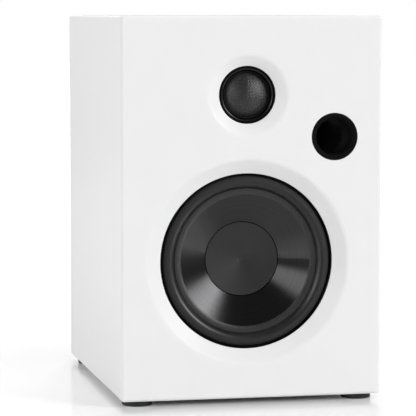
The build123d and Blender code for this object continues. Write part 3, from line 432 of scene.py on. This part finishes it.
dull_black = {"Specular_IOR_Level": 0.08, "Coat_Roughness": 0.3}
trim = grained("trim_black", (0.002, 0.002, 0.002), 0.3, 3000, 1e-6, **dull_black)
tree = trim.node_tree
polished = maths(tree, "LESS_THAN", distance_from(tree, AXIS["tweeter"]), polished_radius)
tree.links.new(polished, tree.nodes["Principled BSDF"].inputs["Coat Weight"])
finishes["trim_black"] = trim

port = grained("port_matt_black", (0.003, 0.003, 0.003), 0.8, 2200, 2e-5, Specular_IOR_Level=0.1)
tree = port.node_tree
depth = add(tree, "SeparateXYZ", {0: add(tree, "TexCoord").outputs["Object"]}).outputs["Y"]
# Paler colour deeper in the bore: painted light that lifts the bore's shade.
painted_bore_light = maths(tree, "POWER", ramp(tree, depth, port_mouth, port_depth), 2.0)
tint(port, painted_bore_light, (0.3, 0.3, 0.3))
finishes["port_black"] = port
print("driver axes:", {driver: [round(v, 4) for v in at] for driver, at in AXIS.items()})

# %% [markdown]
# ## White lacquer
# The cabinet is fibreboard sprayed white. The paint is smooth but not quite flat: sprayed lacquer dries with
# a faint orange-peel ripple about a millimetre wide. The inside of a real cabinet isn't painted, so a test on
# the object's own coordinates finds the faces inside the box and leaves them bare brown board. Another finds
# the top, where a film of fine dust takes the gloss away. Without it, a low lamp would turn the whole top to
# glare.

# %% Cabinet finish
inside_middle = (0, 0.0025, 0.165)
inside_reach = {"X": 0.0968, "Y": 0.1197, "Z": 0.1453}
dust_level = top - 0.0005


def inside_cabinet(tree, place):
    """1 on the faces inside the cabinet's walls, 0 on the painted outside."""
    centred = add(tree, "VectorMath", {0: place, 1: inside_middle}, operation="SUBTRACT").outputs[0]
    reach = add(tree, "VectorMath", {0: centred}, operation="ABSOLUTE").outputs[0]
    axes = add(tree, "SeparateXYZ", {0: reach}).outputs
    within = [maths(tree, "LESS_THAN", axes[axis], limit) for axis, limit in inside_reach.items()]
    return maths(tree, "MULTIPLY", maths(tree, "MULTIPLY", within[0], within[1]), within[2])


lacquer, tree, shader, place = finish("cabinet_white_lacquer", Specular_IOR_Level=0.2)
bare = inside_cabinet(tree, place)
peel = add(tree, "Group", {"Place": place, "Scale": 700.0}, node_tree=grain)
fibre = add(tree, "Group", {"Place": place, "Scale": 2500.0}, node_tree=grain)
paint = mix_colours(tree, peel.outputs["Patches"], (0.87, 0.87, 0.87), (0.89, 0.89, 0.887))
board = mix_colours(tree, fibre.outputs["Grain"], (0.2, 0.12, 0.06), (0.42, 0.28, 0.16))
tree.links.new(mix_colours(tree, bare, paint, board), shader.inputs["Base Color"])
paint_gloss = between(tree, peel.outputs["Patches"], 0.3, 0.36)
height = add(tree, "SeparateXYZ", {0: place}).outputs["Z"]
dusty = maths(tree, "GREATER_THAN", height, dust_level)
dull = maths(tree, "MAXIMUM", maths(tree, "MULTIPLY", bare, 0.9), dusty)
tree.links.new(maths(tree, "MAXIMUM", paint_gloss, dull), shader.inputs["Roughness"])
relief(tree, shader, peel.outputs["Grain"], 4e-7)
finishes["cabinet_white"] = lacquer
print("cabinet finish:", lacquer.name)

# %% [markdown]
# ## Turned metal
# The cone and the dust cap are dark anodised aluminium with the fine rings of a lathe tool. The rings are far
# too fine to model, and they act together: light that falls across them spreads into a fan, so a round lamp
# becomes a bright wedge. The shader's anisotropy does that, with its direction taken from a Tangent node
# round the Y axis. Rings of uneven tone and gloss are drawn on top, with the shared effect. A dark line marks
# where the dust cap is glued on the cone.

# %% Turned metal finishes
def turned_metal(name, colour, roughness, scale, stretch, contrast, glue_radius=None):
    """Metal with lathe rings about the woofer's axis, and optionally a dark glue line at a radius."""
    material, tree, shader, place = finish(
        name, Metallic=1.0, Anisotropic=stretch, Anisotropic_Rotation=0.25
    )
    lathe = {"Place": place, "Centre": AXIS["woofer"], "Scale": scale}
    rings = add(tree, "Group", lathe, node_tree=turning).outputs
    tone = mix_colours(tree, rings["Rings"], *spread(colour, contrast))
    if glue_radius:
        near = maths(tree, "COMPARE", rings["Radius"], glue_radius)
        near.node.inputs[2].default_value = 0.0006
        tone = mix_colours(tree, near, tone, (0.004, 0.004, 0.004))
    tree.links.new(tone, shader.inputs["Base Color"])
    gloss = between(tree, rings["Rings"], roughness + 0.08, roughness - 0.08)
    tree.links.new(gloss, shader.inputs["Roughness"])
    tangent = add(tree, "Tangent", direction_type="RADIAL", axis="Y")
    tree.links.new(tangent.outputs["Tangent"], shader.inputs["Tangent"])
    relief(tree, shader, rings["Rings"], 3e-6)
    return material


cone = turned_metal("cone_turned_metal", (0.057, 0.057, 0.0583), 0.31, 1200, 0.9, 0.35, glue_radius=0.0313)
cap = turned_metal("cap_turned_metal", (0.06, 0.06, 0.061), 0.5, 1500, 0.2, 0.1)
finishes.update(cone_metal=cone, cap_metal=cap)
print("turned metal:", cone.name, cap.name)

# %% [markdown]
# ## Plated metal and wire
# Screws, plates, terminals and foil are plain plated metal: a clear metal colour, with patches that are a
# little duller and a grain that only just breaks the reflection. Copper coils get the lines of their turns as
# relief.

# %% Metal and wire finishes
metals = {
    "steel_screw": ((0.5, 0.5, 0.51), 0.35, 1500),
    "black_screw": ((0.035, 0.035, 0.038), 0.4, 1500),
    "former_metal": ((0.75, 0.75, 0.75), 0.3, 900),
    "plate_steel": ((0.55, 0.55, 0.53), 0.38, 600),
    "brass_plated": ((0.83, 0.62, 0.27), 0.24, 1200),
}
for slot, (colour, roughness, scale) in metals.items():
    finishes[slot] = grained("plated_" + slot, colour, roughness, scale, 4e-6, 0.08, Metallic=1.0)


def wire(name, colour, turns, depth):
    """Wound or braided copper, with its turns as relief and painted shade darkening the colour between them."""
    material, tree, shader, place = finish(name, Metallic=1.0)
    lines = add(tree, "Group", {"Place": place, "Turns": turns}, node_tree=wound).outputs["Height"]
    # The colour is darker between the turns: painted shade in the grooves.
    tree.links.new(mix_colours(tree, lines, [c * 0.35 for c in colour], colour), shader.inputs["Base Color"])
    tree.links.new(between(tree, lines, 0.5, 0.25), shader.inputs["Roughness"])
    relief(tree, shader, lines, depth)
    return material


finishes["copper_wire"] = wire("coil_copper_wire", (0.72, 0.3, 0.14), 1250, 2e-4)
finishes["tinsel"] = wire("tinsel_braid", (0.7, 0.38, 0.22), 1600, 1e-4)
print("metal finishes:", len(metals) + 2)

# %% [markdown]
# ## Cloth
# The tweeter's dome is a black woven cloth with a thin tacky coating, so its threads show as a faint
# cross-hatch, and painted shade darkens the colour between the threads. Towards the rim the dome's colour
# turns greyer: painted light that lifts the rim out of its shade. The spider behind the woofer's cone is the
# same plain weave, in stiffened ochre cotton. The threads run at 45 degrees to the cabinet's edges, so a
# Mapping node turns the pattern.

# %% Cloth finishes
def cloth(name, colour, roughness, threads, depth, **plain):
    """A plain weave, with painted shade darkening the colour between the threads."""
    material, tree, shader, place = finish(name, **plain)
    turn = (0, math.radians(45), 0)
    bias = add(tree, "Mapping", {"Vector": place, "Rotation": turn}).outputs["Vector"]
    height = add(tree, "Group", {"Place": bias, "Threads": threads}, node_tree=weave).outputs["Height"]
    fuzz = add(tree, "Group", {"Place": place, "Scale": 2500.0}, node_tree=grain).outputs["Grain"]
    # Thread height times fuzz: it lifts the relief and the gloss, and darkens the colour between threads as
    # painted shade.
    thread_height_and_shade = maths(tree, "MULTIPLY", height, between(tree, fuzz, 0.7, 1.3))
    tree.links.new(mix_colours(tree, thread_height_and_shade, [c * 0.3 for c in colour], colour), shader.inputs["Base Color"])
    tree.links.new(between(tree, thread_height_and_shade, roughness + 0.1, roughness - 0.1), shader.inputs["Roughness"])
    relief(tree, shader, thread_height_and_shade, depth)
    return material


rim_light_from, rim_light_to = 0.013, 0.0175
dome = cloth("dome_coated_weave", (0.005, 0.005, 0.0053), 0.36, 560, 2.4e-4, Specular_IOR_Level=0.68)
tree = dome.node_tree
# Greyer colour towards the rim: painted light that lifts the rim's shade.
painted_rim_light = ramp(tree, distance_from(tree, AXIS["tweeter"]), rim_light_from, rim_light_to)
tint(dome, painted_rim_light, (0.03, 0.03, 0.03))
finishes["dome_fabric"] = dome
roll_cloth = cloth("roll_coated_weave", (0.004, 0.004, 0.004), 0.7, 480, 1e-4, Specular_IOR_Level=0.15)
finishes["spider_cloth"] = cloth("spider_cotton", (0.62, 0.4, 0.15), 0.8, 1100, 1e-4)
finishes["wadding"] = cloth("wadding_white_felt", (0.8, 0.79, 0.75), 0.95, 300, 3e-4, Sheen_Weight=0.5)
print("cloth:", dome.name, roll_cloth.name, finishes["spider_cloth"].name, finishes["wadding"].name)

# %% [markdown]
# ## Rubber
# The woofer's surround is smooth black rubber. Its inner lip, which is glued on the cone, has a coarser
# grain, dotted with pale specks of colour that are painted glints, and the outer slope of its roll is duller
# than the inner one. Both are found by their distance to the woofer's axis.

# %% Rubber finish
lip_radius = 0.0617
dull_from, dull_to = 0.0655, 0.0685
rubber, tree, shader, place = finish("surround_black_rubber", Specular_IOR_Level=0.45)
spot_radius = distance_from(tree, AXIS["woofer"])
speck = add(tree, "Group", {"Place": place, "Scale": 2600.0}, node_tree=grain).outputs
on_lip = maths(tree, "LESS_THAN", spot_radius, lip_radius)
# Pale specks on the lip: painted glints over the real coarse grain.
painted_glints = ramp(tree, speck["Grain"], 0.42, 0.68)
smooth_tone = mix_colours(tree, speck["Patches"], (0.010, 0.010, 0.010), (0.016, 0.016, 0.016))
lip_tone = mix_colours(tree, painted_glints, (0.01, 0.01, 0.01), (0.06, 0.06, 0.06))
tree.links.new(mix_colours(tree, on_lip, smooth_tone, lip_tone), shader.inputs["Base Color"])
gloss = between(tree, speck["Patches"], 0.32, 0.42)
outer = ramp(tree, spot_radius, dull_from, dull_to, 0.0, 0.4)
tree.links.new(maths(tree, "ADD", gloss, outer), shader.inputs["Roughness"])
relief(tree, shader, maths(tree, "MULTIPLY", speck["Grain"], between(tree, on_lip, 0.15, 1.0)), 6e-5)
finishes["surround_rubber"] = rubber
print("finishes:", len(finishes))

# %% [markdown]
# ## Dressing the parts
# Each part came in with a plain material named after its slot in the record. Its shape is right, so it only
# trades that material for the finish of the same slot. Nothing is moved, and no mesh is touched.

# %% Dress the parts
for part in parts.values():
    for slot in part.material_slots:
        slot.material = finishes[slot.material.name]
print("dressed parts:", len(parts))

# %% [markdown]
# ## Tools for round soft pieces
# The soft rings of both drivers are made in the same way. A section is drawn flat, to the right of the
# driver's axis: a vertex extruded from point to point draws straight stretches, and a vertex spun about a
# centre draws a bow. A second spin takes the whole line round the axis, and solidify gives the sheet its
# thickness. Sizes are in millimetres: radii from the driver's axis, and depths behind the front face.

# %% Drawing a section
MM = 0.001


def on_axis(driver, radius, depth):
    """A point at a radius and a depth from the front face, to the right of a driver's axis."""
    x, y, z = AXIS[driver]
    return Vector((x + radius * MM, y + depth * MM, z))


def draw_line(shape, vertex, driver, *steps):
    """Extrudes a line from a vertex through (radius, depth) steps, and returns its last vertex."""
    for radius, depth in steps:
        vertex = bmesh.ops.extrude_vert_indiv(shape, verts=[vertex])["verts"][0]
        vertex.co = on_axis(driver, radius, depth)
    return vertex


def draw_bow(shape, vertex, driver, end_radius, rise, steps):
    """Spins a vertex to another radius. A positive rise bows to the front. Returns the last vertex."""
    x, y, z = AXIS[driver]
    start_radius, depth = (vertex.co.x - x) / MM, (vertex.co.y - y) / MM
    half = (end_radius - start_radius) / 2
    size = math.copysign((half**2 + rise**2) / (2 * abs(rise)), rise)
    centre = on_axis(driver, start_radius + half, depth - rise + size)
    angle = math.copysign(4 * math.atan(abs(rise / half)), rise * half)
    made = bmesh.ops.spin(shape, geom=[vertex], cent=centre, axis=(0, 0, 1), angle=angle, steps=steps)
    return next(item for item in made["geom_last"] if isinstance(item, bmesh.types.BMVert))


print("section tools ready")

# %% [markdown]
# A spun sheet still has to be closed, turned the right way and thickened. Then it takes the place of the
# solid that stood in for it, and learns to bend: each vertex gets a share of the moving body's travel, from
# none at one radius to all of it at another, with a soft start and end.

# %% Spinning and bending a ring
def spin_round(shape, driver, name, steps, thickness, material):
    """Spins a drawn line round the driver's axis, thickens it to the back and makes it an object."""
    drawn = list(shape.verts) + list(shape.edges)
    turn = {"cent": AXIS[driver], "axis": (0, 1, 0), "angle": 2 * math.pi, "steps": steps}
    bmesh.ops.spin(shape, geom=drawn, use_merge=True, **turn)
    bmesh.ops.remove_doubles(shape, verts=shape.verts, dist=1e-6)
    bmesh.ops.recalc_face_normals(shape, faces=shape.faces)
    if sum(face.normal.y * face.calc_area() for face in shape.faces) > 0:
        bmesh.ops.reverse_faces(shape, faces=shape.faces)
    bmesh.ops.solidify(shape, geom=list(shape.faces), thickness=thickness * MM)
    mesh = new_mesh(shape, name, material)
    mesh.shade_smooth()
    mesh.set_sharp_from_angle(angle=math.radians(40))
    return put(name, mesh)


def bend_by_radius(piece, driver, moving, fixed_radius, moving_radius):
    """Lets a ring bend all round: still outside one radius, and with the moving body inside the other."""
    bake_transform(piece, "cabinet", moving, on_axis(driver, fixed_radius, 0), on_axis(driver, moving_radius, 0))
    x, y, z = AXIS[driver]
    for vertex, share in zip(piece.data.vertices, piece.data.attributes["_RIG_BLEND"].data):
        radius = math.hypot(vertex.co.x - x, vertex.co.z - z) / MM
        t = min(max((fixed_radius - radius) / (fixed_radius - moving_radius), 0.0), 1.0)
        share.value = t * t * (3 - 2 * t)


def stand_in(piece, node):
    """Hides the CAD node that a piece takes the place of, and works out the piece's box in millimetres."""
    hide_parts(node)
    ends = [[round(f(v.co[i] for v in piece.data.vertices) / MM, 2) for i in range(3)] for f in (min, max)]


print("ring tools ready")

# %% [markdown]
# ## The woofer's surround
# The surround is a rubber roll between the fixed frame and the moving cone. A rigid ring would tear off one
# or the other when the cone moves, so it is a soft piece here. Its section is one bow, with a flat rim
# outside it and a lip inside, which lies on the cone's flat edge and a little way down its slope.

# %% Woofer surround
roll_start, roll_end, roll_rise = (61.25, 12.0), 72.4, 4.85
rim = [(72.5, 11.75), (74.3, 11.75)]
lip = [(60.9, 11.3), (57.3, 11.3), (55.4, 12.4)]
shape = bmesh.new()
start = shape.verts.new(on_axis("woofer", *roll_start))
end = draw_bow(shape, start, "woofer", roll_end, roll_rise, 36)
draw_line(shape, end, "woofer", *rim)
draw_line(shape, start, "woofer", *lip)
surround = spin_round(shape, "woofer", "soft_woofer_surround", 192, 0.7, rubber)
bend_by_radius(surround, "woofer", "woofer_diaphragm", 72.0, 61.6)
stand_in(surround, "woofer_surround")

# %% [markdown]
# ## The tweeter's surround
# Round the dome runs a narrow roll of the same cloth, whose flat rim is clamped under the faceplate. It is
# drawn and spun in the same way, and bends with the dome's half millimetre of travel.

# %% Tweeter surround
roll_start, roll_end, roll_rise = (17.9, 10.3), 20.6, 1.1
rim = [(22.7, 10.3)]
shape = bmesh.new()
start = shape.verts.new(on_axis("tweeter", *roll_start))
end = draw_bow(shape, start, "tweeter", roll_end, roll_rise, 16)
draw_line(shape, end, "tweeter", *rim)
dome_roll = spin_round(shape, "tweeter", "soft_tweeter_surround", 128, 0.28, roll_cloth)
bend_by_radius(dome_roll, "tweeter", "tweeter_diaphragm", roll_end, 18.0)
stand_in(dome_roll, "tweeter_surround")

# %% [markdown]
# ## The spider
# Behind the cone, a pleated cloth disc keeps the voice coil centred. Its pleats are rows of equal bows, to
# the front and to the back in turn, so a loop draws them before the line is spun.

# %% Woofer spider
pleat_start, pleat, pleat_rise, pleats = 42.1, 2.8, 1.2, 9
outer_rim = [(44.4, 45.5), (43.2, 45.1), (pleat_start, 45.1)]
inner_rim = [(15.5, 45.1), (13.2, 45.1)]
shape = bmesh.new()
point = shape.verts.new(on_axis("woofer", 50.1, 45.5))
point = draw_line(shape, point, "woofer", *outer_rim)
for count in range(pleats):
    pleat_end = pleat_start - pleat * (count + 1)
    point = draw_bow(shape, point, "woofer", pleat_end, pleat_rise * (-1) ** count, 8)
draw_line(shape, point, "woofer", *inner_rim)
spider = spin_round(shape, "woofer", "soft_woofer_spider", 160, 0.5, finishes["spider_cloth"])
bend_by_radius(spider, "woofer", "woofer_diaphragm", 44.0, 15.0)
stand_in(spider, "woofer_spider")

# %% [markdown]
# ## The tinsel leads
# Two braided leads carry the current from the fixed terminal strip to the moving cone. They have to be limp,
# so they hang in a loose bow. Each is a smooth curve through the air, with a round section, turned into a
# mesh. Its points are given sideways from the woofer's axis, behind the front face and above the axis.

# %% Tinsel leads
route = [(12.0, 48.8, 54.75), (12.0, 42.5, 57.5), (9.6, 39.0, 44.0), (8.4, 33.6, 24.0)]
fixed_height, moving_height = 57, 25
x, y, z = AXIS["woofer"]
braid = bpy.data.curves.new("tinsel", "CURVE")
braid.dimensions = "3D"
braid.bevel_depth = 0.6 * MM
braid.bevel_resolution = 4
braid.use_fill_caps = True
for side in (-1, 1):
    line = braid.splines.new("NURBS")
    line.points.add(len(route) - 1)
    for knot, (across, depth, height) in zip(line.points, route):
        knot.co = (x + side * across * MM, y + depth * MM, z + height * MM, 1)
    line.order_u = 4
    line.use_endpoint_u = True
    line.resolution_u = 16
drawn = put("drawn_leads", braid)
bpy.context.view_layer.update()
mesh = bpy.data.meshes.new_from_object(drawn.evaluated_get(bpy.context.evaluated_depsgraph_get()))
bpy.data.objects.remove(drawn)
mesh.shade_smooth()
mesh.materials.clear()
mesh.materials.append(finishes["tinsel"])
leads = put("soft_tinsel_leads", mesh)
fixed_end, moving_end = Vector((x, y, z + fixed_height * MM)), Vector((x, y, z + moving_height * MM))
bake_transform(leads, "cabinet", "woofer_diaphragm", fixed_end, moving_end)
stand_in(leads, "woofer_tinsel_leads")

# %% [markdown]
# ## The wadding
# Pads of polyester wadding on the side walls soak up the sound inside. A pad is a soft block: flat where it
# is glued on the wall, crowned in the middle, with rounded edges and a lumpy face. A cube is subdivided and
# smoothed until its edges are round, stretched to its place, and then pushed about by a slow noise.

# %% Wadding pads
ALL_AXES = {"use_axis_x": True, "use_axis_y": True, "use_axis_z": True}


def wadding_pad(name, low, high, wall_side):
    """A soft pad between two corners in millimetres, flat on the side of the wall."""
    shape = bmesh.new()
    bmesh.ops.create_cube(shape, size=1.0)
    bmesh.ops.subdivide_edges(shape, edges=shape.edges, cuts=31, use_grid_fill=True)
    for _ in range(6):
        bmesh.ops.smooth_vert(shape, verts=shape.verts, factor=0.5, **ALL_AXES)
    widest = [max(abs(v.co[i]) for v in shape.verts) for i in range(3)]
    middle = [(a + b) / 2 for a, b in zip(low, high)]
    for vertex in shape.verts:
        share = [vertex.co[i] / (2 * widest[i]) for i in range(3)]
        off_wall = 0.5 - wall_side * share[0]
        crown = (1 - 0.5 * (2 * share[1]) ** 4) * (1 - 0.5 * (2 * share[2]) ** 4)
        lump = 0.85 + 0.3 * noise.noise(Vector((share[1] * 7, share[2] * 9, wall_side)))
        depth = off_wall * min(crown * lump, 1.0)
        spot = [(0.5 - depth) * wall_side, share[1], share[2]]
        vertex.co = Vector([(m + s * (b - a)) * MM for m, s, a, b in zip(middle, spot, low, high)])
    bmesh.ops.recalc_face_normals(shape, faces=shape.faces)
    mesh = new_mesh(shape, name, finishes["wadding"])
    mesh.shade_smooth()
    pad = put(name, mesh)
    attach(pad, "cabinet")
    stand_in(pad, "damping_pads")


wadding_pad("wadding_left", (-96.5, -80, 45), (-78.5, 90, 285), -1)
wadding_pad("wadding_right", (78.5, 0, 45), (96.5, 90, 285), 1)
